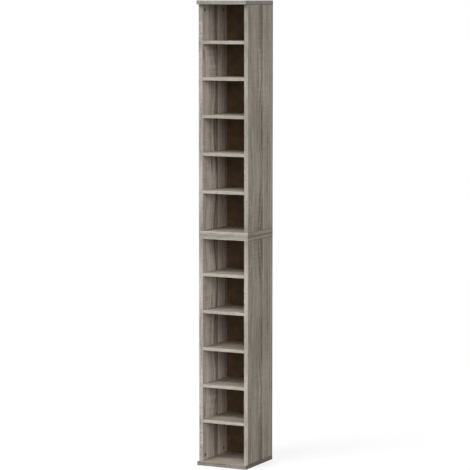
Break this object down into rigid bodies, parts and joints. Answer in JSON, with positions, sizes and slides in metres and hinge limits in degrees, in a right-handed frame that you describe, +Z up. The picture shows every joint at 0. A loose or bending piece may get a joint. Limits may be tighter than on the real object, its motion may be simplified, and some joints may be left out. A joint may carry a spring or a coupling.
{
  "type": "disc storage tower",
  "caption": "Tall narrow open tower of two stacked cases with shelves on pins, for standing rows of CD and DVD cases.",
  "frame": {"origin": "middle of the underside of the base plate, at the centre of the whole part's outline seen from above", "axes": "+Z up along the tower, -Y out of the open front, +X to the right seen from the front"},
  "size_m": [0.218, 0.243, 1.86],
  "materials": {
    "oak_laminate": "satin grey-brown oak print laminate with fine streaked grain",
    "hardboard": "brown hardboard, smooth inside and marked by the press screen at the rear",
    "pin_nickel": "nickel plated"
  },
  "bodies": {
    "carcass": {"base_plate": "oak_laminate", "lower_left_side": "oak_laminate", "lower_right_side": "oak_laminate", "lower_back_panel": "hardboard", "lower_ceiling_plate": "oak_laminate", "upper_floor_plate": "oak_laminate", "upper_left_side": "oak_laminate", "upper_right_side": "oak_laminate", "upper_back_panel": "hardboard", "top_plate": "oak_laminate", "lower_shelf_1_pin_left_front": "pin_nickel", "lower_shelf_1_pin_left_rear": "pin_nickel", "lower_shelf_1_pin_right_front": "pin_nickel", "lower_shelf_1_pin_right_rear": "pin_nickel", "lower_shelf_2_pin_left_front": "pin_nickel", "lower_shelf_2_pin_left_rear": "pin_nickel", "lower_shelf_2_pin_right_front": "pin_nickel", "lower_shelf_2_pin_right_rear": "pin_nickel", "lower_shelf_3_pin_left_front": "pin_nickel", "lower_shelf_3_pin_left_rear": "pin_nickel", "lower_shelf_3_pin_right_front": "pin_nickel", "lower_shelf_3_pin_right_rear": "pin_nickel", "lower_shelf_4_pin_left_front": "pin_nickel", "lower_shelf_4_pin_left_rear": "pin_nickel", "lower_shelf_4_pin_right_front": "pin_nickel", "lower_shelf_4_pin_right_rear": "pin_nickel", "lower_shelf_5_pin_left_front": "pin_nickel", "lower_shelf_5_pin_left_rear": "pin_nickel", "lower_shelf_5_pin_right_front": "pin_nickel", "lower_shelf_5_pin_right_rear": "pin_nickel", "upper_shelf_1_pin_left_front": "pin_nickel", "upper_shelf_1_pin_left_rear": "pin_nickel", "upper_shelf_1_pin_right_front": "pin_nickel", "upper_shelf_1_pin_right_rear": "pin_nickel", "upper_shelf_2_pin_left_front": "pin_nickel", "upper_shelf_2_pin_left_rear": "pin_nickel", "upper_shelf_2_pin_right_front": "pin_nickel", "upper_shelf_2_pin_right_rear": "pin_nickel", "upper_shelf_3_pin_left_front": "pin_nickel", "upper_shelf_3_pin_left_rear": "pin_nickel", "upper_shelf_3_pin_right_front": "pin_nickel", "upper_shelf_3_pin_right_rear": "pin_nickel", "upper_shelf_4_pin_left_front": "pin_nickel", "upper_shelf_4_pin_left_rear": "pin_nickel", "upper_shelf_4_pin_right_front": "pin_nickel", "upper_shelf_4_pin_right_rear": "pin_nickel", "upper_shelf_5_pin_left_front": "pin_nickel", "upper_shelf_5_pin_left_rear": "pin_nickel", "upper_shelf_5_pin_right_front": "pin_nickel", "upper_shelf_5_pin_right_rear": "pin_nickel"},
    "lower_shelf_1_body": {"lower_shelf_1": "oak_laminate"},
    "lower_shelf_2_body": {"lower_shelf_2": "oak_laminate"},
    "lower_shelf_3_body": {"lower_shelf_3": "oak_laminate"},
    "lower_shelf_4_body": {"lower_shelf_4": "oak_laminate"},
    "lower_shelf_5_body": {"lower_shelf_5": "oak_laminate"},
    "upper_shelf_1_body": {"upper_shelf_1": "oak_laminate"},
    "upper_shelf_2_body": {"upper_shelf_2": "oak_laminate"},
    "upper_shelf_3_body": {"upper_shelf_3": "oak_laminate"},
    "upper_shelf_4_body": {"upper_shelf_4": "oak_laminate"},
    "upper_shelf_5_body": {"upper_shelf_5": "oak_laminate"}
  },
  "joints": [
    {"name": "lower_shelf_1_slide", "type": "slide", "parent": "carcass", "child": "lower_shelf_1_body", "axis": [0, -1, 0], "range_m": [0, 0.2118]},
    {"name": "lower_shelf_2_slide", "type": "slide", "parent": "carcass", "child": "lower_shelf_2_body", "axis": [0, -1, 0], "range_m": [0, 0.2118]},
    {"name": "lower_shelf_3_slide", "type": "slide", "parent": "carcass", "child": "lower_shelf_3_body", "axis": [0, -1, 0], "range_m": [0, 0.2118]},
    {"name": "lower_shelf_4_slide", "type": "slide", "parent": "carcass", "child": "lower_shelf_4_body", "axis": [0, -1, 0], "range_m": [0, 0.2118]},
    {"name": "lower_shelf_5_slide", "type": "slide", "parent": "carcass", "child": "lower_shelf_5_body", "axis": [0, -1, 0], "range_m": [0, 0.2118]},
    {"name": "upper_shelf_1_slide", "type": "slide", "parent": "carcass", "child": "upper_shelf_1_body", "axis": [0, -1, 0], "range_m": [0, 0.2118]},
    {"name": "upper_shelf_2_slide", "type": "slide", "parent": "carcass", "child": "upper_shelf_2_body", "axis": [0, -1, 0], "range_m": [0, 0.2118]},
    {"name": "upper_shelf_3_slide", "type": "slide", "parent": "carcass", "child": "upper_shelf_3_body", "axis": [0, -1, 0], "range_m": [0, 0.2118]},
    {"name": "upper_shelf_4_slide", "type": "slide", "parent": "carcass", "child": "upper_shelf_4_body", "axis": [0, -1, 0], "range_m": [0, 0.2118]},
    {"name": "upper_shelf_5_slide", "type": "slide", "parent": "carcass", "child": "upper_shelf_5_body", "axis": [0, -1, 0], "range_m": [0, 0.2118]}
  ]
}
